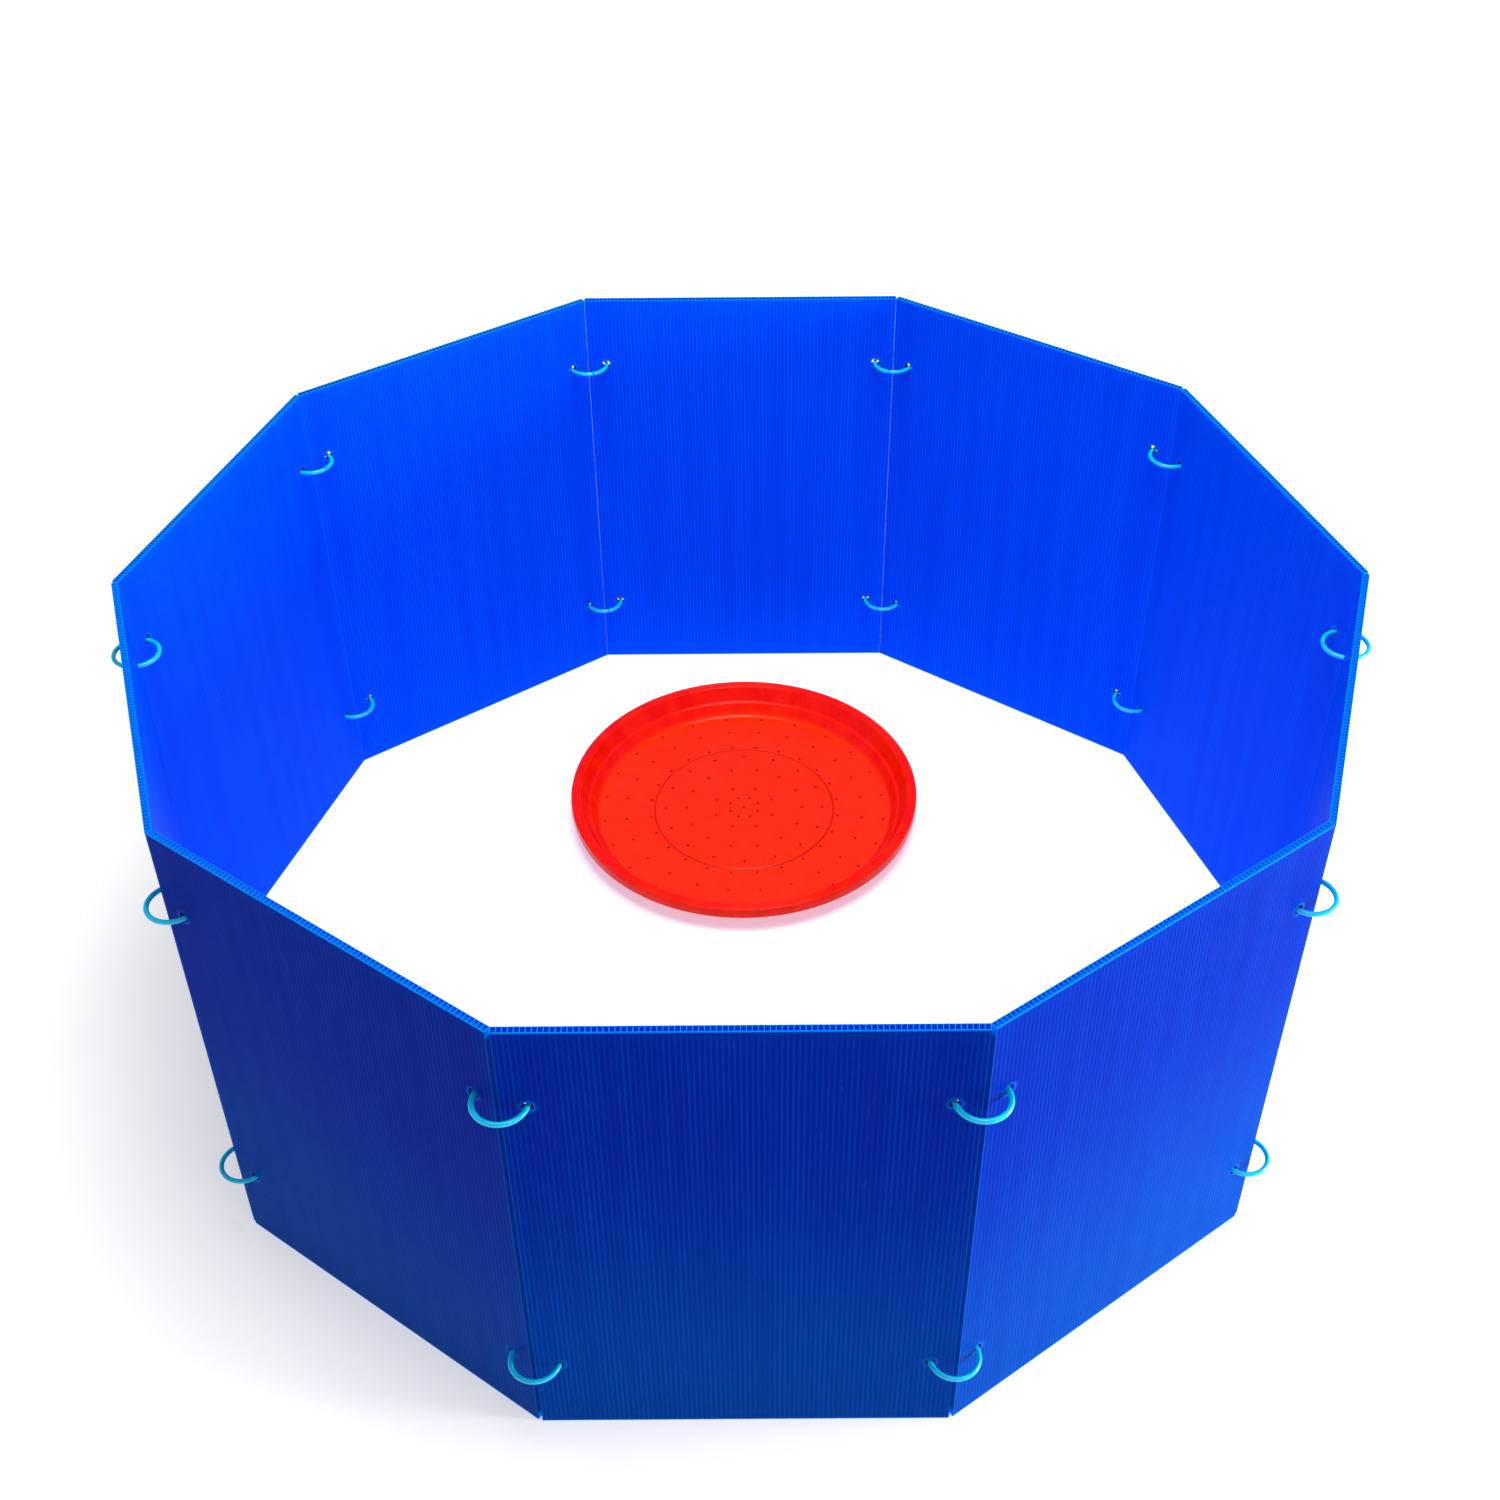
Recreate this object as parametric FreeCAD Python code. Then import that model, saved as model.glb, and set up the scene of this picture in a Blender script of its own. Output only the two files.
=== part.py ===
import FreeCAD, Part
import math
import os

# Folding chick pen: ten fluted plastic panels laced at their corners by
# plastic rings, with a round feeder tray standing on the floor inside it.
# Millimetres. The pen is a regular ten-sided ring round the Z axis, bottom
# edges on z = 0, one panel square to -Y.

# driving dimensions
PANELS = 10
PANEL_WIDTH = 350.0
PANEL_HEIGHT = 500.0
WALL = 6.0
FLUTES = 84
SKIN = 0.5
RIB = 0.4
HINGE_GAP = 0.03         # panel end to the corner line it folds about

RING_RADIUS = 21.0       # centre line of the ring, round the corner line
RING_WIRE = 2.2          # radius of its section
RING_SPLIT = 0.8         # slot the ring is sprung open at
RING_DROP = 1.4          # how far the wire hangs under the hole's centre
HOLE_RADIUS = 4.5
HOLE_FROM_CORNER = 20.5
HOLE_HEIGHTS = {"lower": 86.0, "upper": 420.0}

TRAY_CENTRE = (0.0, 240.0)
TRAY_RADIUS = 200.0
TRAY_DEPTH = 33.0
TRAY_SHEET = 2.0

# the pen's corner lines lie on the panels' inner faces
TURN = 360.0 / PANELS
SIDE = PANEL_WIDTH + 2 * HINGE_GAP
INNER_FLAT = SIDE / 2 / math.tan(math.radians(TURN / 2))
CORNER_RADIUS = SIDE / 2 / math.sin(math.radians(TURN / 2))


def vec(x, y, z=0.0):
    return FreeCAD.Vector(x, y, z)


def box(x0, x1, y0, y1, z0, z1):
    return Part.makeBox(x1 - x0, y1 - y0, z1 - z0, vec(x0, y0, z0))


def turned(shape, degrees):
    copy = shape.copy()
    copy.rotate(vec(0, 0), vec(0, 0, 1), degrees)
    return copy


def save(shape, name):
    solid = shape.Solids[0]
    assert len(shape.Solids) == 1 and solid.isValid(), name
    solid.exportStep("parts/" + name + ".step")


def rectangle(x0, x1, y0, y1):
    points = [vec(x0, y0), vec(x1, y0), vec(x1, y1), vec(x0, y1), vec(x0, y0)]
    return Part.makePolygon(points)


def make_panel():
    """The front panel: two skins joined by upright ribs, open at both ends."""
    inner = -INNER_FLAT
    outer = inner - WALL
    half = PANEL_WIDTH / 2
    pitch = (PANEL_WIDTH - RIB) / FLUTES
    wires = [rectangle(-half, half, outer, inner)]
    for i in range(FLUTES):
        x0 = -half + i * pitch + RIB
        x1 = -half + (i + 1) * pitch
        wires.append(rectangle(x0, x1, outer + SKIN, inner - SKIN))
    face = Part.Face(wires[0])
    holes = [Part.Face(wire) for wire in wires[1:]]
    section = face.cut(Part.makeCompound(holes))
    panel = section.extrude(vec(0, 0, PANEL_HEIGHT))

    # holes for the rings, through both skins and whatever ribs they meet
    x = SIDE / 2 - HOLE_FROM_CORNER
    drills = []
    for z in HOLE_HEIGHTS.values():
        for side in (-1, 1):
            start = vec(side * x, outer - 1, z)
            drills.append(Part.makeCylinder(HOLE_RADIUS, WALL + 2, start, vec(0, 1)))
    return panel.cut(Part.makeCompound(drills))


def make_ring(z):
    """A split ring round the corner on the +X axis, its slot facing into the pen."""
    ring = Part.makeTorus(RING_RADIUS, RING_WIRE, vec(CORNER_RADIUS, 0, z))
    reach = RING_RADIUS + RING_WIRE + 1
    slot = box(CORNER_RADIUS - reach, CORNER_RADIUS, -RING_SPLIT / 2, RING_SPLIT / 2,
               z - RING_WIRE - 1, z + RING_WIRE + 1)
    return ring.cut(slot)


def make_tray():
    """Shallow round tray: raised disc, stepped wall, flat lip, turned-down rim."""
    r = TRAY_RADIUS
    t = TRAY_SHEET
    top = TRAY_DEPTH
    section = [
        # upper face, from the middle out
        (0, t + 1), (0.522 * r - 1, t + 1), (0.522 * r, t),
        (0.84 * r, t), (0.853 * r, t + 2),
        (0.890 * r, 0.5 * top), (0.903 * r, 0.5 * top + 0.6),
        (0.935 * r, top - 1.5), (0.943 * r, top),
        # two low ridges on the lip
        (0.950 * r, top), (0.953 * r, top + 0.8), (0.957 * r, top + 0.8), (0.960 * r, top),
        (0.972 * r, top), (0.975 * r, top + 0.8), (0.979 * r, top + 0.8), (0.982 * r, top),
        # rounded edge and the band turned down from it
        (r - 1.5, top), (r - 0.4, top - 0.4), (r, top - 1.5), (r, top - 12),
        (r - t, top - 12), (r - t, top - t),
        # under face, back to the middle
        (0.943 * r + t, top - t), (0.935 * r + t, top - 2.5),
        (0.903 * r + t, 0.5 * top - 1.2), (0.890 * r + t, 0.5 * top - 1.8),
        (0.853 * r + 1.6, 0.6), (0.845 * r, 0),
        (0.522 * r + 1, 0), (0.522 * r, 1), (0, 1),
    ]
    points = [vec(a, 0, z) for a, z in section]
    points.append(points[0])
    tray = Part.Face(Part.makePolygon(points)).revolve(vec(0, 0), vec(0, 0, 1), 360)

    # rings of low pips on the floor: radius as a share of the tray's, count, floor height
    rows = [
        (0.0, 1, t + 1), (0.087, 8, t + 1), (0.175, 8, t + 1), (0.337, 14, t + 1),
        (0.456, 16, t + 1), (0.547, 24, t), (0.69, 24, t), (0.815, 24, t),
    ]
    pips = []
    for share, count, floor in rows:
        for i in range(count):
            angle = 2 * math.pi * (i + 0.5 * (count % 16 == 8)) / count
            place = vec(share * r * math.cos(angle), share * r * math.sin(angle), floor - 0.5)
            pips.append(Part.makeCone(1.4, 0.8, 1.4, place))
    tray = tray.fuse(Part.makeCompound(pips))
    tray.translate(vec(TRAY_CENTRE[0], TRAY_CENTRE[1]))
    return tray


os.makedirs("parts", exist_ok=True)

# panel_01 faces -Y and the numbers run anticlockwise seen from above
panel = make_panel()
for k in range(PANELS):
    save(turned(panel, k * TURN), "panel_%02d" % (k + 1))

# corner 3 lies on +X; corner k stands between panel k and the next one
for level, height in HOLE_HEIGHTS.items():
    ring = make_ring(height - RING_DROP)
    for k in range(PANELS):
        save(turned(ring, (k - 2) * TURN), "ring_%02d_%s" % (k + 1, level))

save(make_tray(), "feeder_tray")
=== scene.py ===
# %% [markdown]
# # A folding chick pen and its feeder tray
# The pen is ten upright boards of fluted plastic sheet standing in a ring on the floor.
# Rings of light blue plastic pass through punched holes and lace each board to the next.
# A round red tray of feed stands inside. This lesson dresses a model whose boards are
# already the right shape, and makes the rings and the tray again as smooth surfaces.

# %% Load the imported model
import math

import bmesh
import bpy
import numpy as np
from mathutils import Matrix, Quaternion, Vector


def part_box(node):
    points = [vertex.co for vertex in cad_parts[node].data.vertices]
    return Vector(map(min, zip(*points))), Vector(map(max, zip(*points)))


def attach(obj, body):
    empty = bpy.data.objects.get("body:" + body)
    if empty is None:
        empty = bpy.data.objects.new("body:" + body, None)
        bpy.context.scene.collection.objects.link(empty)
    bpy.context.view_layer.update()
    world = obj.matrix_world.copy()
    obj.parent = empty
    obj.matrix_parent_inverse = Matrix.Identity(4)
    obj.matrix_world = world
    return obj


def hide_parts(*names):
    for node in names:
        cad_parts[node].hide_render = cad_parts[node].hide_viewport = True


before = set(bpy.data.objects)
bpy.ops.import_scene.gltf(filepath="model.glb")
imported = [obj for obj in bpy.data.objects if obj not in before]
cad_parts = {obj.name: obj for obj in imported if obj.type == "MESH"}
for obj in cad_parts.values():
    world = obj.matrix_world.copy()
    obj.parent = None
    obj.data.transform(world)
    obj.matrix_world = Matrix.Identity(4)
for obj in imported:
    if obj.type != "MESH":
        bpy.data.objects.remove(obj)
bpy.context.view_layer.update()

# %% [markdown]
# Every length below is in metres. The boards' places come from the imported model: the
# number of boards and the box round one of them give the ring's size, and the corner
# lines that the rings circle are the joints of the model.

# %% Sizes of the real pieces
BOARDS = 10
TURN = 2 * math.pi / BOARDS
FLUTES = 84                 # open channels across one board
SHEET = 0.006               # thickness of a board

front_low, front_high = (np.array(corner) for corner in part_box("panel_01"))
BOARD_WIDTH = float(front_high[0] - front_low[0])
BOARD_HEIGHT = float(front_high[2])
INNER_FLAT = float(-front_high[1])      # centre of the pen to a board's inner face
HOLE_RADIUS = 0.0045
HOLE_FROM_CORNER = 0.0205
HOLE_HEIGHTS = (0.086, 0.420)
CORNER_RADIUS = INNER_FLAT / math.cos(TURN / 2)
HALF_SIDE = INNER_FLAT * math.tan(TURN / 2)     # middle of a board to its corner line
print("board", BOARD_WIDTH, "x", BOARD_HEIGHT, "corner radius", round(CORNER_RADIUS, 4))

# %% [markdown]
# A mesh made by hand starts as two arrays: the points, and the corners of each face.
# `grid_mesh` takes a grid of points, one row per step along the shape and one column per
# step round it, and joins neighbours with four-sided faces. A grid that closes on itself
# is told so, and a row squeezed to one point becomes a pole. Merging points that lie on
# each other then closes the seams and poles, so the surface has no cracks.

# %% From a grid of points to a mesh
def grid_faces(rows, columns, close_rows=False, close_columns=False):
    """Corner numbers of the quads of a rows x columns grid: (i, j), (i, j+1), (i+1, j+1), (i+1, j)."""
    i = np.arange(rows if close_rows else rows - 1)
    j = np.arange(columns if close_columns else columns - 1)
    i, j = (a.ravel() for a in np.meshgrid(i, j, indexing="ij"))
    down, right = (i + 1) % rows, (j + 1) % columns
    quad = [i * columns + j, i * columns + right, down * columns + right, down * columns + j]
    return np.stack(quad, axis=1)


def mesh_object(name, points, faces, smooth_angle=math.radians(40)):
    """An object in the row frame from an (n, 3) array of points and an (m, 4) array of faces."""
    mesh = bpy.data.meshes.new(name)
    mesh.from_pydata(points.reshape(-1, 3).tolist(), [], faces.tolist())
    shape = bmesh.new()
    shape.from_mesh(mesh)
    bmesh.ops.remove_doubles(shape, verts=shape.verts, dist=1e-6)
    bmesh.ops.dissolve_degenerate(shape, edges=shape.edges, dist=1e-7)
    bmesh.ops.recalc_face_normals(shape, faces=shape.faces)
    shape.to_mesh(mesh)
    shape.free()
    mesh.shade_smooth()
    piece = bpy.data.objects.new(name, mesh)
    bpy.context.scene.collection.objects.link(piece)
    print(name, len(mesh.vertices), "points", len(mesh.polygons), "faces")
    return piece

# %% [markdown]
# ## Shader groups
# Three finishes share the same small faults: fine scuffs from handling, and a slight
# unevenness that moulded and extruded plastic always has. Each effect is built once as a
# node group with named inputs and outputs, and every material places it with its own
# values. A group only puts out masks and heights, so the shader itself stays in the
# material.

# %% Helpers for node trees
def new_group(name, inputs, outputs):
    """An empty shader group: inputs and outputs are (name, socket kind, default) rows."""
    group = bpy.data.node_groups.new(name, "ShaderNodeTree")
    for label, kind, default in inputs:
        socket = group.interface.new_socket(label, in_out="INPUT", socket_type=kind)
        if default is not None:
            socket.default_value = default
    for label, kind in outputs:
        group.interface.new_socket(label, in_out="OUTPUT", socket_type=kind)
    return group, group.nodes.new("NodeGroupInput"), group.nodes.new("NodeGroupOutput")


def wire(tree, value, socket):
    """Feeds a socket from another socket, or sets it to a plain value."""
    if isinstance(value, bpy.types.NodeSocket):
        tree.links.new(value, socket)
    else:
        socket.default_value = value


def maths(tree, operation, *values, clamp=False):
    """One Math node, with its inputs wired or set."""
    node = tree.nodes.new("ShaderNodeMath")
    node.operation = operation
    node.use_clamp = clamp
    for value, socket in zip(values, node.inputs):
        wire(tree, value, socket)
    return node.outputs[0]


def ramp(tree, value, low, high, out_low=0.0, out_high=1.0):
    """A smooth step from out_low to out_high as value goes from low to high."""
    node = tree.nodes.new("ShaderNodeMapRange")
    node.interpolation_type = "SMOOTHSTEP"
    for item, socket in zip((value, low, high, out_low, out_high), node.inputs):
        wire(tree, item, socket)
    return node.outputs[0]


def mix_colour(tree, factor, first, second):
    """A colour between first and second."""
    node = tree.nodes.new("ShaderNodeMix")
    node.data_type = "RGBA"
    wire(tree, factor, node.inputs[0])
    wire(tree, first, node.inputs[6])
    wire(tree, second, node.inputs[7])
    return node.outputs[2]


def noise(tree, vector, scale, detail=3.0, roughness=0.5):
    """The grey output of a Noise texture."""
    node = tree.nodes.new("ShaderNodeTexNoise")
    wire(tree, vector, node.inputs["Vector"])
    node.inputs["Scale"].default_value = scale
    node.inputs["Detail"].default_value = detail
    node.inputs["Roughness"].default_value = roughness
    return node.outputs[0]


def flat_distance(tree, x, y):
    """How far a point lies from the origin in a plane: the root of x squared plus y squared."""
    squares = maths(tree, "ADD", maths(tree, "POWER", x, 2.0), maths(tree, "POWER", y, 2.0))
    return maths(tree, "SQRT", squares)


def raise_surface(tree, height, shader):
    """Turns a height in metres into the shader's normal with a Bump node."""
    bump = tree.nodes.new("ShaderNodeBump")
    bump.inputs["Strength"].default_value = 1.0
    bump.inputs["Distance"].default_value = 1.0
    wire(tree, height, bump.inputs["Height"])
    wire(tree, bump.outputs[0], shader.inputs["Normal"])


def scaled(tree, vector, factors):
    """A vector with each part multiplied by its own factor."""
    node = tree.nodes.new("ShaderNodeVectorMath")
    node.operation = "MULTIPLY"
    wire(tree, vector, node.inputs[0])
    node.inputs[1].default_value = factors
    return node.outputs[0]

# %% [markdown]
# The flutes show through the skin of a board as fine upright lines. A repeat of the
# distance across the board gives each flute a place from 0 to 1, and the distance to the
# nearest rib falls out of that. The skin also sags a little between its ribs while it is
# still soft from the die, which catches light in thin stripes, so the same numbers give a
# height. A board isn't perfectly regular: the strength of the lines drifts from one
# stretch of the sheet to the next.

# %% Group: flutes seen through the skin
flutes, g_in, g_out = new_group(
    "flutes under the skin",
    [("Across", "NodeSocketFloat", 0.0), ("Vector", "NodeSocketVector", None),
     ("Flutes", "NodeSocketFloat", 84.0), ("Width", "NodeSocketFloat", 0.35)],
    [("Rib", "NodeSocketFloat"), ("Height", "NodeSocketFloat"), ("Drift", "NodeSocketFloat")])
half = maths(flutes, "MULTIPLY", g_in.outputs["Width"], 0.5)
share = maths(flutes, "DIVIDE", maths(flutes, "ADD", g_in.outputs["Across"], half), g_in.outputs["Width"])
place = maths(flutes, "FRACT", maths(flutes, "MULTIPLY", share, g_in.outputs["Flutes"]))
from_middle = maths(flutes, "ABSOLUTE", maths(flutes, "SUBTRACT", place, 0.5))
wire(flutes, ramp(flutes, from_middle, 0.22, 0.46), g_out.inputs["Rib"])
sag = maths(flutes, "COSINE", maths(flutes, "MULTIPLY", from_middle, 2 * math.pi))
wire(flutes, maths(flutes, "MULTIPLY", sag, -0.5), g_out.inputs["Height"])
band = scaled(flutes, g_in.outputs["Vector"], (60.0, 60.0, 2.5))
wire(flutes, ramp(flutes, noise(flutes, band, 1.0, 4.0, 0.6), 0.3, 0.7), g_out.inputs["Drift"])
print(flutes.name, len(flutes.nodes), "nodes")

# %% [markdown]
# Handling leaves short upright scuffs, gathered in patches where hands and boards rub.
# A stretched noise gives the strokes and a wide, slow noise gives the patches. The two
# are multiplied, so a scuff shows only where both are strong. Painting the marks by hand
# would look the same, but it would need an image for each piece.

# %% Group: scuffs and fine unevenness
scuffs, g_in, g_out = new_group(
    "handling scuffs",
    [("Vector", "NodeSocketVector", None), ("Amount", "NodeSocketFloat", 0.5)],
    [("Scuff", "NodeSocketFloat"), ("Mottle", "NodeSocketFloat"), ("Height", "NodeSocketFloat")])
streak = noise(scuffs, scaled(scuffs, g_in.outputs["Vector"], (240.0, 240.0, 30.0)), 1.0, 5.0, 0.65)
patch = noise(scuffs, g_in.outputs["Vector"], 9.0, 3.0)
marks = maths(scuffs, "MULTIPLY", ramp(scuffs, streak, 0.6, 0.78), ramp(scuffs, patch, 0.45, 0.7))
wire(scuffs, maths(scuffs, "MULTIPLY", marks, g_in.outputs["Amount"], clamp=True), g_out.inputs["Scuff"])
wire(scuffs, patch, g_out.inputs["Mottle"])
wire(scuffs, noise(scuffs, g_in.outputs["Vector"], 420.0, 2.0), g_out.inputs["Height"])
print(scuffs.name, len(scuffs.nodes), "nodes")

# %% [markdown]
# The cut edges of a board are painted paler than its faces, painted light standing in for the
# light that gets into the cut plastic there. Round the punched holes the paleness is partly real
# whitening of the torn plastic and partly a painted highlight, and a wider band along the top and
# bottom is painted lighter as painted rim light. All are found from position alone: the distance
# to the ends and to the top and bottom of the board, and the distance to the nearest hole.
# Folding the board's two halves onto each other with absolute values turns four holes
# into one.

# %% Group: cut edges and punched holes
cuts, g_in, g_out = new_group(
    "cut edges and holes",
    [("Across", "NodeSocketFloat", 0.0), ("Up", "NodeSocketFloat", 0.0),
     ("Half Width", "NodeSocketFloat", 0.175), ("Height", "NodeSocketFloat", 0.5),
     ("Hole Across", "NodeSocketFloat", 0.155),
     ("Hole Middle", "NodeSocketFloat", sum(HOLE_HEIGHTS) / 2),
     ("Hole Spread", "NodeSocketFloat", (HOLE_HEIGHTS[1] - HOLE_HEIGHTS[0]) / 2)],
    [("End", "NodeSocketFloat"), ("Rim", "NodeSocketFloat"), ("Painted Rim Light", "NodeSocketFloat"),
     ("Hole", "NodeSocketFloat")])
off_centre = maths(cuts, "ABSOLUTE", g_in.outputs["Across"])
to_end = maths(cuts, "SUBTRACT", g_in.outputs["Half Width"], off_centre)
wire(cuts, ramp(cuts, to_end, 0.0004, 0.0016, 1.0, 0.0), g_out.inputs["End"])
mid = maths(cuts, "MULTIPLY", g_in.outputs["Height"], 0.5)
from_mid = maths(cuts, "ABSOLUTE", maths(cuts, "SUBTRACT", g_in.outputs["Up"], mid))
to_rim = maths(cuts, "SUBTRACT", mid, from_mid)
wire(cuts, ramp(cuts, to_rim, 0.0002, 0.0022, 1.0, 0.0), g_out.inputs["Rim"])
# painted rim light: a band near the top and bottom rim, where the board is painted lighter
wire(cuts, ramp(cuts, to_rim, 0.0, 0.024, 1.0, 0.0), g_out.inputs["Painted Rim Light"])
hole_x = maths(cuts, "SUBTRACT", off_centre, g_in.outputs["Hole Across"])
rise = maths(cuts, "ABSOLUTE", maths(cuts, "SUBTRACT", g_in.outputs["Up"], g_in.outputs["Hole Middle"]))
hole_z = maths(cuts, "SUBTRACT", rise, g_in.outputs["Hole Spread"])
to_hole = flat_distance(cuts, hole_x, hole_z)
wire(cuts, ramp(cuts, to_hole, HOLE_RADIUS + 0.0001, HOLE_RADIUS + 0.004, 1.0, 0.0), g_out.inputs["Hole"])
print(cuts.name, len(cuts.nodes), "nodes")

# %% [markdown]
# ## The boards
# Twin-wall polypropylene sheet is two thin skins with upright ribs between them, extruded
# in one go and cut square, so the open ends of the flutes show along the rim. The packed
# boards already have every channel, so their shape stays and they only get a finish. Each
# board stands at its own angle, so a Mapping node turns the object coordinates back until
# X runs across the board, and one function makes the ten materials.

# %% Finish of one board
SKIN_SAG = 0.00005          # how far the skin sinks between two ribs
SHEET_GRAIN = 0.000012      # depth of the finest grain
HOLE_PUCKER = 0.0004        # rise of the skin at the edge of a punched hole


def place_group(tree, group, **values):
    """Places a node group and feeds its inputs by name."""
    node = tree.nodes.new("ShaderNodeGroup")
    node.node_tree = group
    for label, value in values.items():
        wire(tree, value, node.inputs[label.replace("_", " ")])
    return node


def new_material(name):
    """A material with only its Principled shader, and that shader."""
    material = bpy.data.materials.new(name)
    material.use_nodes = True
    return material, material.node_tree, material.node_tree.nodes["Principled BSDF"]


def board_material(number):
    """The sheet's finish, turned to suit the board of that number."""
    material, tree, shader = new_material("fluted_sheet_%02d" % number)
    coordinates = tree.nodes.new("ShaderNodeTexCoord").outputs["Object"]
    turn_back = tree.nodes.new("ShaderNodeMapping")
    turn_back.inputs["Rotation"].default_value = (0, 0, -(number - 1) * TURN)
    wire(tree, coordinates, turn_back.inputs["Vector"])
    local = turn_back.outputs["Vector"]
    parts = tree.nodes.new("ShaderNodeSeparateXYZ")
    wire(tree, local, parts.inputs[0])
    across, outward, up = parts.outputs
    lines = place_group(tree, flutes, Across=across, Vector=local, Flutes=float(FLUTES), Width=BOARD_WIDTH)
    edge = place_group(tree, cuts, Across=across, Up=up, Half_Width=BOARD_WIDTH / 2, Height=BOARD_HEIGHT,
                       Hole_Across=HALF_SIDE - HOLE_FROM_CORNER)
    worn = place_group(tree, scuffs, Vector=local, Amount=0.5)

    # blue pigment with painted light and shade: the inner skin is painted a lighter blue, standing in
    # for light coming through the sheet, and the outer skin a deeper blue
    depth = maths(tree, "SUBTRACT", maths(tree, "MULTIPLY", outward, -1.0), INNER_FLAT)
    outer = ramp(tree, depth, 0.0006, 0.0020)
    # painted floor light: the outer skin is painted lighter and more cyan towards the bottom, standing in
    # for light from the white floor
    low = ramp(tree, up, 0.0, 0.40, 1.0, 0.0)
    outer_blue_painted_floor_light = mix_colour(tree, low, (0.0, 0.014, 0.26, 1), (0.0, 0.040, 0.30, 1))
    outer_line_painted_floor_light = mix_colour(tree, low, (0.0, 0.030, 0.36, 1), (0.0, 0.065, 0.38, 1))
    between = mix_colour(tree, outer, (0.0, 0.060, 0.80, 1), outer_blue_painted_floor_light)
    over_rib = mix_colour(tree, outer, (0.0, 0.105, 0.95, 1), outer_line_painted_floor_light)
    # painted light: a pale blue for the lit cut edges and the highlights round the holes
    pale = (0.0, 0.26, 1.0, 1)
    drift = ramp(tree, lines.outputs["Drift"], 0.0, 1.0, 0.35, 1.0)
    rib_show = maths(tree, "MULTIPLY", lines.outputs["Rib"], drift)
    colour = mix_colour(tree, rib_show, between, over_rib)
    # painted rim light: a band along the top and bottom of the board is painted lighter, standing in for
    # light coming in through the rim
    colour = mix_colour(tree, maths(tree, "MULTIPLY", edge.outputs["Painted Rim Light"], 0.22), colour, over_rib)
    # painted light: the cut ends and the rim are painted pale, standing in for light caught by the cut
    # edges
    cut = maths(tree, "MAXIMUM", maths(tree, "MULTIPLY", edge.outputs["End"], 0.2), edge.outputs["Rim"])
    colour = mix_colour(tree, maths(tree, "MULTIPLY", cut, 0.75), colour, pale)
    # round the holes: partly real whitening of the torn plastic, partly a painted highlight
    colour = mix_colour(tree, maths(tree, "MULTIPLY", edge.outputs["Hole"], 0.25), colour, pale)
    scuffed = maths(tree, "MULTIPLY", worn.outputs["Scuff"], 0.25)
    colour = mix_colour(tree, scuffed, colour, (0.10, 0.25, 0.9, 1))
    wire(tree, colour, shader.inputs["Base Color"])

    gloss = ramp(tree, worn.outputs["Mottle"], 0.3, 0.7, 0.30, 0.38)
    gloss = maths(tree, "ADD", gloss, maths(tree, "MULTIPLY", worn.outputs["Scuff"], 0.2))
    wire(tree, gloss, shader.inputs["Roughness"])
    shader.inputs["Specular IOR Level"].default_value = 0.005

    # painted light: near the rim the mouths of the flutes glow by emission, standing in for
    # daylight that runs down inside the thin walls, so they aren't black
    past_inner_skin = ramp(tree, depth, 0.0004, 0.0008)
    short_of_outer_skin = ramp(tree, depth, SHEET - 0.0008, SHEET - 0.0004, 1.0, 0.0)
    in_wall = maths(tree, "MULTIPLY", past_inner_skin, short_of_outer_skin)
    painted_flute_glow = maths(tree, "MULTIPLY", in_wall, ramp(tree, edge.outputs["Painted Rim Light"], 0.5, 1.0))
    wire(tree, mix_colour(tree, painted_flute_glow, (0, 0, 0, 1), (0.0, 0.10, 0.46, 1)), shader.inputs["Emission Color"])
    shader.inputs["Emission Strength"].default_value = 1.0

    # the skin's stripes, a soft pucker round the holes, and a very fine grain
    height = maths(tree, "MULTIPLY", lines.outputs["Height"], SKIN_SAG)
    height = maths(tree, "ADD", height, maths(tree, "MULTIPLY", worn.outputs["Height"], SHEET_GRAIN))
    pucker = maths(tree, "MULTIPLY", edge.outputs["Hole"], HOLE_PUCKER)
    raise_surface(tree, maths(tree, "ADD", height, pucker), shader)
    return material


def dress(piece, material):
    """Puts one material in every slot of a piece."""
    if not piece.material_slots:
        piece.data.materials.append(material)
    for slot in piece.material_slots:
        slot.material = material


for number in range(1, BOARDS + 1):
    dress(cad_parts["panel_%02d" % number], board_material(number))
print("dressed", BOARDS, "boards")

# %% [markdown]
# ## The rings
# A ring is a round plastic wire bent into a circle, split at one point so that it can be
# sprung open and threaded through the holes of two boards. It lies level, with the corner
# line of the pen at its centre. As a surface it is a small circle carried round a large
# one. At the two cut ends the small circle shrinks over a short quarter round and then
# closes to a point, so the ends are flat with a soft edge.

# %% One ring as an array of points
RING_RADIUS = 0.021
WIRE_RADIUS = 0.0022
RING_SPLIT = 0.0008
END_ROUND = 0.0005
RING_DROP = 0.0014


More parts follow.
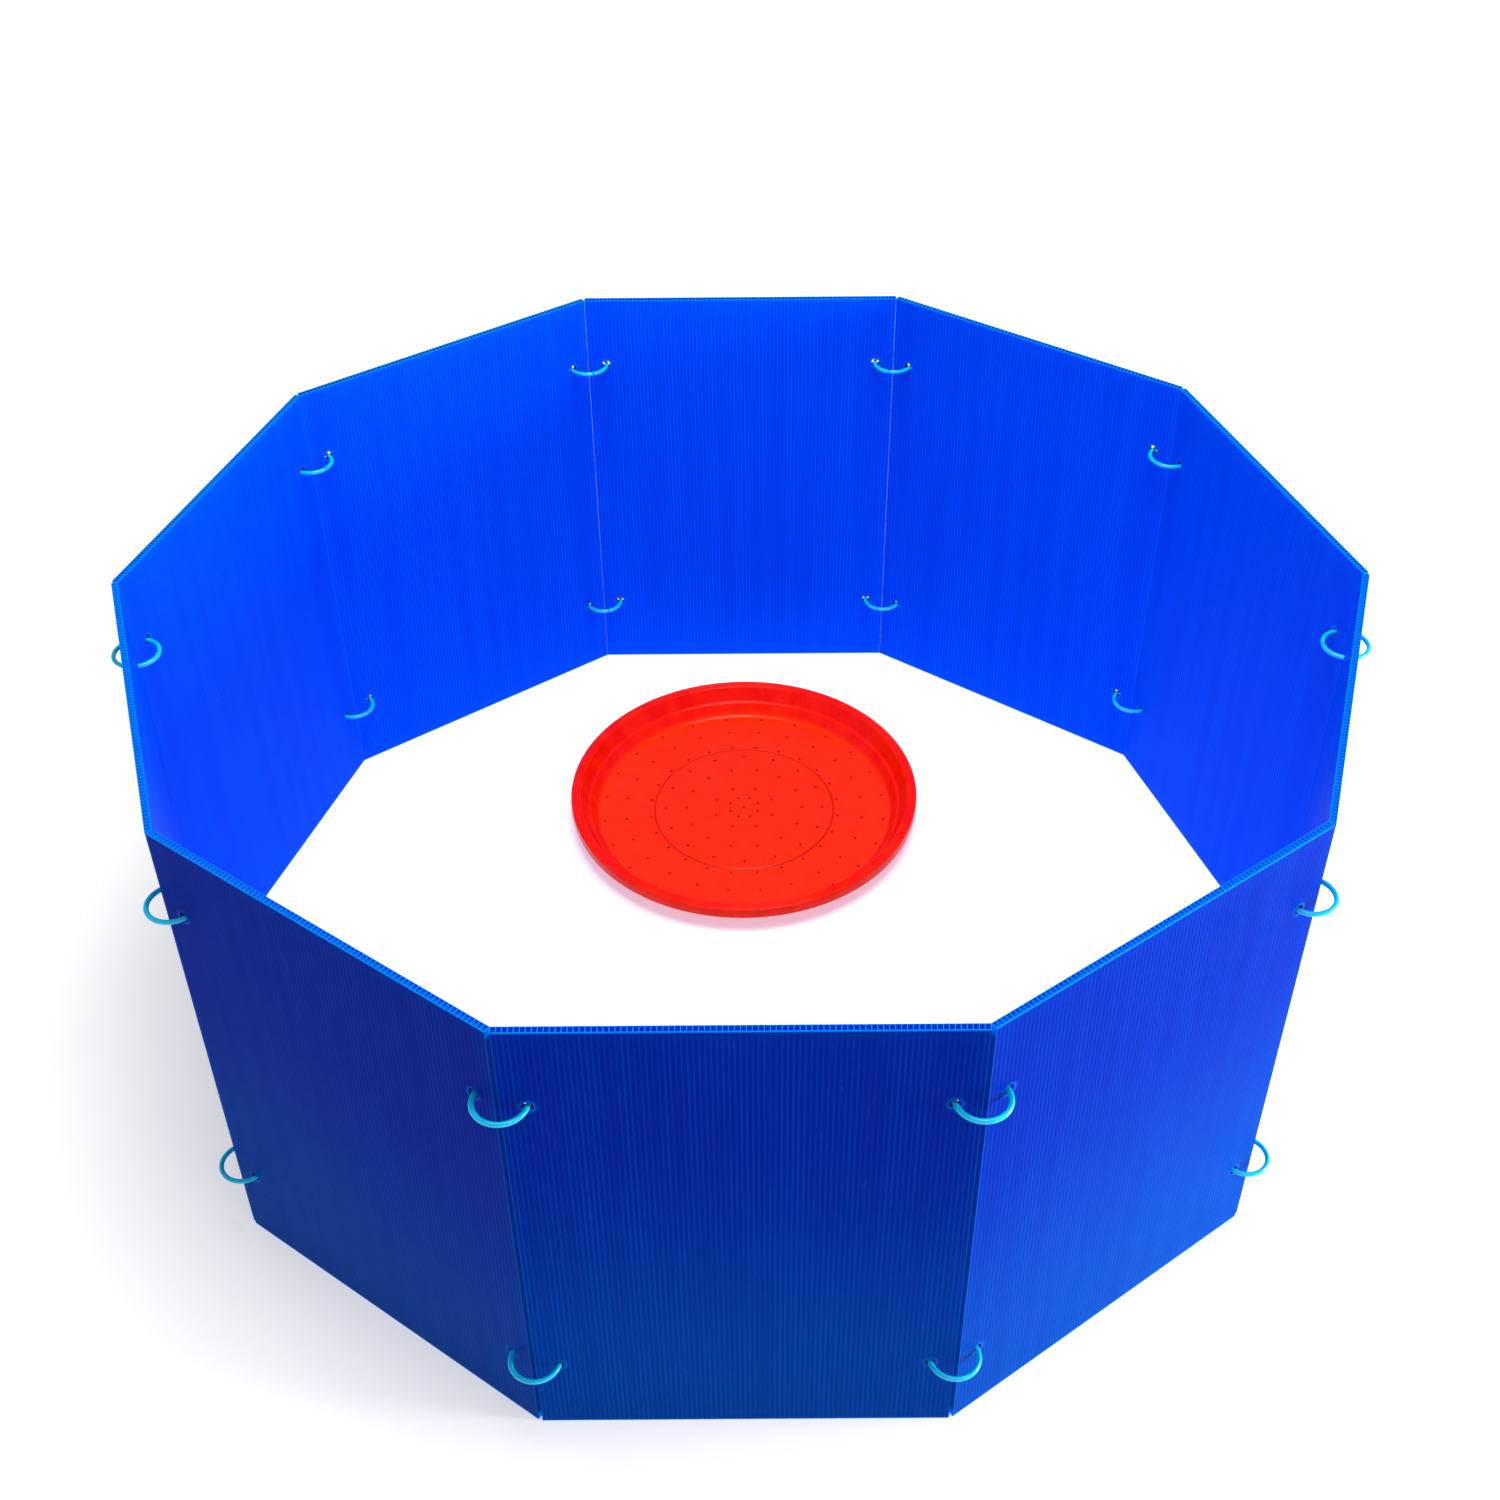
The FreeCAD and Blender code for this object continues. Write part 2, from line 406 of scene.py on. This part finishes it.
def ring_points(steps=72, sides=20, rounding=5):
    """Points of a split ring round the origin, its slot on -X.

    Along the wire: angle = start + distance / ring radius. Round the wire: the point at
    angle b is the centre line plus r (cos b outward + sin b up). The wire's radius r is 0 at
    an end, jumps to radius - rounding on the flat, then follows a quarter circle.
    """
    a = np.linspace(0, math.pi / 2, rounding)
    end_along = END_ROUND * (1 - np.cos(a))
    end_radius = WIRE_RADIUS - END_ROUND + END_ROUND * np.sin(a)
    length = 2 * math.pi * RING_RADIUS - RING_SPLIT
    middle = np.linspace(END_ROUND, length - END_ROUND, steps)[1:-1]
    along = np.concatenate([[0], end_along, middle, length - end_along[::-1], [length]])
    radius = np.concatenate([[0], end_radius, np.full(len(middle), WIRE_RADIUS), end_radius[::-1], [0]])
    theta = (math.pi + (RING_SPLIT / 2 + along) / RING_RADIUS)[:, None]
    b = np.linspace(0, 2 * math.pi, sides, endpoint=False)[None, :]
    reach = RING_RADIUS + radius[:, None] * np.cos(b)
    return np.stack([reach * np.cos(theta), reach * np.sin(theta), radius[:, None] * np.sin(b)], axis=2)


ring_grid = ring_points()
ring_quads = grid_faces(*ring_grid.shape[:2], close_columns=True)
print("ring grid", ring_grid.shape)

# %% [markdown]
# Moulded rings of this kind are a clear, light blue that is brightest where the plastic
# is thin. The wire's colour drifts a little from place to place, and the outside is
# rubbed where the boards swing on it. The surface is glossier than the sheet's.

# %% Finish of the rings
ring_blue, tree, shader = new_material("ring_blue")
coordinates = tree.nodes.new("ShaderNodeTexCoord").outputs["Object"]
worn = place_group(tree, scuffs, Vector=coordinates, Amount=0.7)
tint = ramp(tree, noise(tree, coordinates, 60.0, 2.0), 0.3, 0.7)
colour = mix_colour(tree, tint, (0.0, 0.44, 0.72, 1), (0.0, 0.54, 0.84, 1))
colour = mix_colour(tree, maths(tree, "MULTIPLY", worn.outputs["Scuff"], 0.3), colour, (0.2, 0.7, 0.9, 1))
wire(tree, colour, shader.inputs["Base Color"])
wire(tree, ramp(tree, worn.outputs["Mottle"], 0.3, 0.7, 0.16, 0.26), shader.inputs["Roughness"])
raise_surface(tree, maths(tree, "MULTIPLY", worn.outputs["Height"], 0.00001), shader)
shader.inputs["Specular IOR Level"].default_value = 0.25
shader.inputs["Coat Weight"].default_value = 0.15
shader.inputs["Coat Roughness"].default_value = 0.08
print(ring_blue.name, len(tree.nodes), "nodes")

# %% [markdown]
# The corner lines stand on a circle, one every 36 degrees, and each carries a ring at
# both hole heights. The one array of points is turned and moved into each place, which
# keeps every ring's object at the origin. Each ring takes the place of its plain model
# and moves with it when the pen folds.

# %% Twenty rings at the corners
for corner in range(1, BOARDS + 1):
    angle = (corner - 3) * TURN
    out = np.array([math.cos(angle), math.sin(angle), 0.0])
    side = np.array([-math.sin(angle), math.cos(angle), 0.0])
    axes = np.stack([out, side, [0.0, 0.0, 1.0]])
    for level, hole_height in zip(("lower", "upper"), HOLE_HEIGHTS):
        node = "ring_%02d_%s" % (corner, level)
        centre = CORNER_RADIUS * out + np.array([0.0, 0.0, hole_height - RING_DROP])
        ring = mesh_object("lacing_" + node, ring_grid @ axes + centre, ring_quads)
        dress(ring, ring_blue)
        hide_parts(node)
        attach(ring, node)
print(2 * BOARDS, "rings at corner radius", round(CORNER_RADIUS, 4))

# %% [markdown]
# ## The feeder tray
# The tray is one moulding about as thick as a coin: a flat floor with a slightly raised
# disc in the middle, a wall that leans outward in two steps, a flat lip with two fine
# ridges, and a band turned down from its edge. A turned shape needs only its section: the
# outline of the wall, cut through the middle, carried once round the upright axis. Sharp
# corners never survive moulding, so each corner of the outline is first replaced by a
# short curve that starts and ends on its two sides.

# %% The tray's section with rounded corners
tray_low, tray_high = (np.array(corner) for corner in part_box("feeder_tray"))
TRAY_CENTRE = (tray_low + tray_high) / 2 * [1, 1, 0]
TRAY_RADIUS = float(tray_high[0] - tray_low[0]) / 2
TRAY_TOP = 0.033            # the lip; two fine ridges stand on it
TRAY_WALL = 0.002
DISC_EDGE = 0.522           # edge of the raised disc, as a share of the radius
R, T, H = TRAY_RADIUS, TRAY_WALL, TRAY_TOP
RIDGE = H + 0.0008

# distance from the axis, height, rounding at that corner
section = np.array([
    (DISC_EDGE * R - 0.0012, T + 0.001, 0.0008), (DISC_EDGE * R, T, 0.0008),
    (0.842 * R, T, 0.005), (0.890 * R, 0.50 * H, 0.0014), (0.903 * R, 0.50 * H + 0.0006, 0.0012),
    (0.943 * R, H, 0.0016),
    (0.950 * R, H, 0.0003), (0.953 * R, RIDGE, 0.0003), (0.957 * R, RIDGE, 0.0003), (0.960 * R, H, 0.0003),
    (0.972 * R, H, 0.0003), (0.975 * R, RIDGE, 0.0003), (0.979 * R, RIDGE, 0.0003), (0.982 * R, H, 0.0003),
    (R, H, 0.0022), (R, H - 0.012, 0.0007), (R - T, H - 0.012, 0.0007), (R - T, H - T, 0.0010),
    (0.943 * R + 0.0014, H - T, 0.0010),
    (0.903 * R + 0.0018, 0.50 * H - 0.0012, 0.0010), (0.890 * R + 0.0016, 0.50 * H - 0.0018, 0.0010),
    (0.842 * R + 0.0016, 0.0, 0.0040),
    (DISC_EDGE * R + 0.0010, 0.0, 0.0006), (DISC_EDGE * R - 0.0002, 0.001, 0.0006),
])


def rounded(outline, steps=7):
    """Replaces each inner corner P of an open outline by the curve
    (1-t)^2 A + 2t(1-t) P + t^2 B, where A and B lie on its two sides, its rounding away from P."""
    point, size = outline[:, :2], outline[:, 2:]
    before, after = point[:-2] - point[1:-1], point[2:] - point[1:-1]
    size = size[1:-1]
    reach_a = np.minimum(size, 0.45 * np.linalg.norm(before, axis=1, keepdims=True))
    reach_b = np.minimum(size, 0.45 * np.linalg.norm(after, axis=1, keepdims=True))
    a = point[1:-1] + before / np.linalg.norm(before, axis=1, keepdims=True) * reach_a
    b = point[1:-1] + after / np.linalg.norm(after, axis=1, keepdims=True) * reach_b
    t = np.linspace(0, 1, steps)[None, :, None]
    curve = (1 - t) ** 2 * a[:, None] + 2 * t * (1 - t) * point[1:-1][:, None] + t ** 2 * b[:, None]
    return curve.reshape(-1, 2)


ends = np.array([[0.0, T + 0.001, 0.0]]), np.array([[0.0, 0.001, 0.0]])
outline = np.concatenate([ends[0], section, ends[1]])
profile = np.concatenate([outline[:1, :2], rounded(outline), outline[-1:, :2]])
print("tray section", profile.shape)

# %% [markdown]
# The section is carried round the axis in 192 steps, fine enough for a smooth rim. The
# Spin tool does the same by hand. Worked out as one array, every step has the same angle
# and the first and last steps share their points, so there is no seam.

# %% Turn the section round the axis
def turned(profile, steps=192):
    """Point (i, j) is (r_i cos a_j, r_i sin a_j, z_i), from section point (r_i, z_i) and angle a_j."""
    a = np.linspace(0, 2 * math.pi, steps, endpoint=False)[None, :]
    r, z = profile[:, :1], profile[:, 1:]
    return np.stack([r * np.cos(a), r * np.sin(a), z * np.ones_like(a)], axis=2)


tray_grid = turned(profile)
tray = mesh_object("moulded_tray", tray_grid + TRAY_CENTRE,
                   grid_faces(*tray_grid.shape[:2], close_columns=True))

# %% [markdown]
# Small pips stand on the floor in rings, so that chicks learn to peck at something. There
# are more than a hundred, so one low dome of a few dozen faces is copied to all their
# places in a single addition of two arrays: every place plus every point of the dome.

# %% Pips on the floor
rows = ((0.0, 1, T + 0.001), (0.087, 8, T + 0.001), (0.175, 8, T + 0.001), (0.337, 14, T + 0.001),
        (0.456, 16, T + 0.001), (0.547, 24, T), (0.69, 24, T), (0.815, 24, T))
places = np.concatenate([
    np.stack([share * R * np.cos(a), share * R * np.sin(a), np.full(count, floor)], axis=1)
    for share, count, floor in rows
    for a in [2 * math.pi * (np.arange(count) + 0.5 * (count % 16 == 8)) / count]])


def dome_points(radius=0.0018, height=0.0012, rings=5, sides=12):
    """A half ellipsoid, radius sin(u) across and height cos(u) up, with a foot just under the floor."""
    u = np.linspace(0, math.pi / 2, rings)
    r = np.concatenate([radius * np.sin(u), [radius, 0.0]])[:, None]
    z = np.concatenate([height * np.cos(u), [-0.0003, -0.0003]])[:, None]
    a = np.linspace(0, 2 * math.pi, sides, endpoint=False)[None, :]
    return np.stack([r * np.cos(a), r * np.sin(a), z * np.ones_like(a)], axis=2)


dome = dome_points()
dome_quads = grid_faces(*dome.shape[:2], close_columns=True)
pip_points = places[:, None, None, :] + dome[None] + TRAY_CENTRE
pip_quads = (dome_quads[None] + np.arange(len(places))[:, None, None] * dome[..., 0].size).reshape(-1, 4)
pips = mesh_object("tray_pips", pip_points, pip_quads)
print(len(places), "pips")

# %% [markdown]
# The tray's red is a strong pigment in a shiny plastic. Melt runs out from the middle of
# the mould, so the surface has faint rays, and the floor is dulled a little by feed and
# beaks. The rays come from the angle round the tray's own centre, which a Mapping node
# moves to the origin.

# %% Finish of the tray
tray_red, tree, shader = new_material("tray_red")
coordinates = tree.nodes.new("ShaderNodeTexCoord").outputs["Object"]
centred = tree.nodes.new("ShaderNodeMapping")
centred.inputs["Location"].default_value = tuple(-TRAY_CENTRE)
wire(tree, coordinates, centred.inputs["Vector"])
parts = tree.nodes.new("ShaderNodeSeparateXYZ")
wire(tree, centred.outputs[0], parts.inputs[0])
east, north, up = parts.outputs
bearing = maths(tree, "ARCTAN2", north, east)
from_axis = flat_distance(tree, east, north)
ray_place = tree.nodes.new("ShaderNodeCombineXYZ")
wire(tree, maths(tree, "SINE", bearing), ray_place.inputs[0])
wire(tree, maths(tree, "COSINE", bearing), ray_place.inputs[1])
wire(tree, maths(tree, "MULTIPLY", from_axis, 4.0), ray_place.inputs[2])
rays = noise(tree, ray_place.outputs[0], 9.0, 4.0, 0.6)
worn = place_group(tree, scuffs, Vector=coordinates, Amount=0.8)
floor_mask = ramp(tree, up, 0.003, 0.010, 1.0, 0.0)
colour = mix_colour(tree, ramp(tree, rays, 0.35, 0.65), (0.90, 0.006, 0.0, 1), (0.98, 0.014, 0.0, 1))
# painted light: the floor is painted a lighter, more orange red, standing in for light from above on its
# upward face
colour = mix_colour(tree, maths(tree, "MULTIPLY", floor_mask, 0.6), colour, (1.0, 0.036, 0.0, 1))
scuffed = maths(tree, "MULTIPLY", worn.outputs["Scuff"], 0.12)
colour = mix_colour(tree, scuffed, colour, (1.0, 0.22, 0.12, 1))
# painted shade: a dark red line along the edge of the raised disc, standing in for the shade at its small
# step
from_disc = maths(tree, "ABSOLUTE", maths(tree, "SUBTRACT", from_axis, DISC_EDGE * R))
painted_step_shade = maths(tree, "MULTIPLY", ramp(tree, from_disc, 0.0005, 0.0016, 1.0, 0.0), 0.6)
colour = mix_colour(tree, painted_step_shade, colour, (0.42, 0.0, 0.0, 1))
wire(tree, colour, shader.inputs["Base Color"])
dull = maths(tree, "MULTIPLY", maths(tree, "MULTIPLY", floor_mask, worn.outputs["Scuff"]), 0.25)
gloss = ramp(tree, worn.outputs["Mottle"], 0.3, 0.7, 0.20, 0.28)
wire(tree, maths(tree, "ADD", gloss, dull), shader.inputs["Roughness"])
ray_height = maths(tree, "MULTIPLY", rays, 0.00006)
grain = maths(tree, "MULTIPLY", worn.outputs["Height"], 0.000008)
raise_surface(tree, maths(tree, "ADD", ray_height, grain), shader)
shader.inputs["Coat Weight"].default_value = 0.05
shader.inputs["Coat Roughness"].default_value = 0.1
shader.inputs["Specular IOR Level"].default_value = 0.08
print(tray_red.name, len(tree.nodes), "nodes")

# %% [markdown]
# The pips lie in their own small shadows, so they read as dark dots. They get a deeper red
# of their own: painted shade.

# %% Finish of the pips
pip_painted_shade_red, tree, shader = new_material("pip_painted_shade_red")
coordinates = tree.nodes.new("ShaderNodeTexCoord").outputs["Object"]
worn = place_group(tree, scuffs, Vector=coordinates, Amount=0.6)
# painted shade: the pips are a deeper red than the tray, standing in for their own small shadows
wire(tree, mix_colour(tree, worn.outputs["Mottle"], (0.36, 0.0, 0.0, 1), (0.52, 0.004, 0.0, 1)),
     shader.inputs["Base Color"])
wire(tree, ramp(tree, worn.outputs["Mottle"], 0.3, 0.7, 0.35, 0.45), shader.inputs["Roughness"])
shader.inputs["Specular IOR Level"].default_value = 0.1

for piece, finish in ((tray, tray_red), (pips, pip_painted_shade_red)):
    dress(piece, finish)
    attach(piece, "feeder_tray")
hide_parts("feeder_tray")
print("dressed the tray and its pips")

# %% [markdown]
# ## Floor, light and camera
# The stage is a plain pale floor with a weak glow of its own, a little stronger far from
# the pen, so that it stays white to its edge and the soft shadows near the boards remain.

# %% Floor
floor_material, tree, shader = new_material("pale_floor")
coordinates = tree.nodes.new("ShaderNodeTexCoord").outputs["Object"]
wire(tree, mix_colour(tree, noise(tree, coordinates, 3.0), (0.72, 0.72, 0.73, 1), (0.76, 0.76, 0.76, 1)),
     shader.inputs["Base Color"])
shader.inputs["Roughness"].default_value = 0.6
parts = tree.nodes.new("ShaderNodeSeparateXYZ")
wire(tree, coordinates, parts.inputs[0])
away = flat_distance(tree, parts.outputs[0], parts.outputs[1])
wire(tree, ramp(tree, away, 0.9, 2.4, 0.44, 0.80), shader.inputs["Emission Strength"])
shader.inputs["Emission Color"].default_value = (1, 1, 1, 1)
reach = 12.0
corners = np.array([(-1, -1, 0), (1, -1, 0), (1, 1, 0), (-1, 1, 0)]) * reach - [0.0, 0.0, 0.0005]
floor = mesh_object("floor", corners, np.array([[0, 1, 2, 3]]))
dress(floor, floor_material)

# %% [markdown]
# A wide soft light hangs over the open pen and a second one stands low on the right,
# below the rim, so the insides of the boards are brighter than the outsides, and the
# right-hand outsides brighter than the left. The sky lights the pen gently but is seen
# as plain white.

# %% Soft lights
def soft_light(name, place, aim, size, power, colour=(1, 1, 1)):
    """A square area light at a place, turned to face a point."""
    lamp = bpy.data.lights.new(name, "AREA")
    lamp.energy = power
    lamp.size = size
    lamp.color = colour
    holder = bpy.data.objects.new(name, lamp)
    holder.location = place
    holder.rotation_euler = (Vector(aim) - Vector(place)).to_track_quat("-Z", "Y").to_euler()
    holder.visible_camera = False
    bpy.context.scene.collection.objects.link(holder)
    return holder


soft_light("overhead", (0.15, -0.1, 2.4), (0.0, 0.05, 0.0), 1.3, 58)
soft_light("right_side", (2.3, -0.65, 0.45), (0.0, -0.1, 0.25), 0.8, 90)

world = bpy.data.worlds.new("studio")
world.use_nodes = True
backdrop = world.node_tree.nodes["Background"]
backdrop.inputs["Color"].default_value = (1.0, 1.0, 1.0, 1)
seen = world.node_tree.nodes.new("ShaderNodeLightPath").outputs["Is Camera Ray"]
wire(world.node_tree, ramp(world.node_tree, seen, 0.0, 1.0, 0.40, 1.0), backdrop.inputs["Strength"])
bpy.context.scene.world = world
print("lights", [lamp.name for lamp in bpy.data.lights])

# plain colours as mixed, with no film curve over them
bpy.context.scene.view_settings.view_transform = "Standard"

# %% [markdown]
# The camera looks down into the pen from the front at about forty degrees. It is turned
# to face its target, then rolled by less than half a degree about its own axis.

# %% Camera
camera_data = bpy.data.cameras.new("camera")
camera_data.lens = 46.5
camera_data.sensor_width = 36.0
camera = bpy.data.objects.new("camera", camera_data)
bpy.context.scene.collection.objects.link(camera)
eye = Vector((0.0091, -1.4453, 1.5204))
target = Vector((0.0077, 0.0, 0.2943))
aim = (target - eye).to_track_quat("-Z", "Y")
roll = Quaternion((0, 0, 1), math.radians(-0.44))
camera.matrix_world = Matrix.Translation(eye) @ (aim @ roll).to_matrix().to_4x4()
bpy.context.scene.camera = camera
print("camera", tuple(round(v, 3) for v in camera.location))
